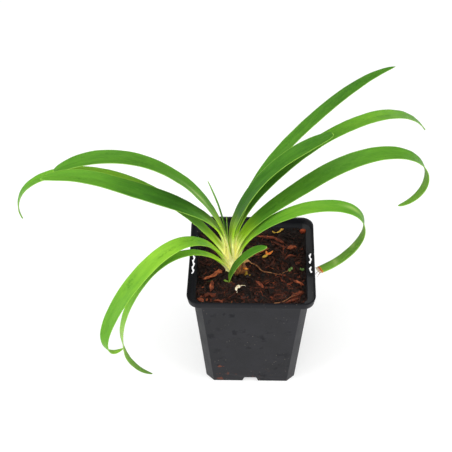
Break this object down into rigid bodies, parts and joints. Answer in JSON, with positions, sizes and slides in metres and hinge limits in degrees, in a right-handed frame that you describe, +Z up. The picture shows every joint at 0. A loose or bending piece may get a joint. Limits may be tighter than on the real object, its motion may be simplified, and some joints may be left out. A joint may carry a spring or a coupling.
{
  "type": "agapanthus plant",
  "caption": "Young agapanthus in a square black nursery pot: strap leaves in two arching ranks from a pale sheathed neck, over bark potting mix.",
  "frame": {"origin": "on the ground, at the middle of the pot's base", "axes": "+Z up, +Y away from the front of the pot, +X to the right, along the two ranks of leaves"},
  "size_m": [0.2987, 0.1971, 0.2167],
  "materials": {
    "pot_plastic": "satin",
    "potting_mix": "matte",
    "leaf_sheath": "satin",
    "leaf": "satin",
    "leaf_bright": "satin",
    "leaf_dark": "satin",
    "rhizome": "matte",
    "papery": "matte",
    "bark": "matte",
    "red_bark": "matte",
    "rootlet": "matte",
    "orange_scrap": "matte",
    "yellow_scrap": "matte",
    "seedling": "matte"
  },
  "bodies": {
    "root": {"pot": "pot_plastic", "potting_mix": "potting_mix", "crown": "leaf_sheath", "left_leaf_1": "leaf", "left_leaf_2": "leaf", "left_leaf_3": "leaf", "left_leaf_4": "leaf_bright", "left_leaf_5": "leaf", "right_leaf_1": "leaf", "right_leaf_2": "leaf", "right_leaf_3": "leaf", "right_leaf_4": "leaf_bright", "right_leaf_5": "leaf_bright", "centre_spike_long": "leaf_dark", "centre_spike_short": "leaf_dark", "side_shoot_leaf": "leaf_dark", "side_shoot_bud": "leaf_bright", "rhizome": "rhizome", "rhizome_bud": "yellow_scrap", "dry_sheath": "papery", "surface_root": "papery", "seedling_near": "seedling", "seedling_far": "seedling", "bark_chip_long": "red_bark", "bark_chip_upright": "bark", "bark_nugget_red": "red_bark", "bark_nugget_round": "red_bark", "bark_sliver_right": "bark", "bark_sliver_front": "bark", "white_rootlet": "rootlet", "fallen_bract": "orange_scrap", "fallen_strip": "yellow_scrap"}
  },
  "joints": []
}
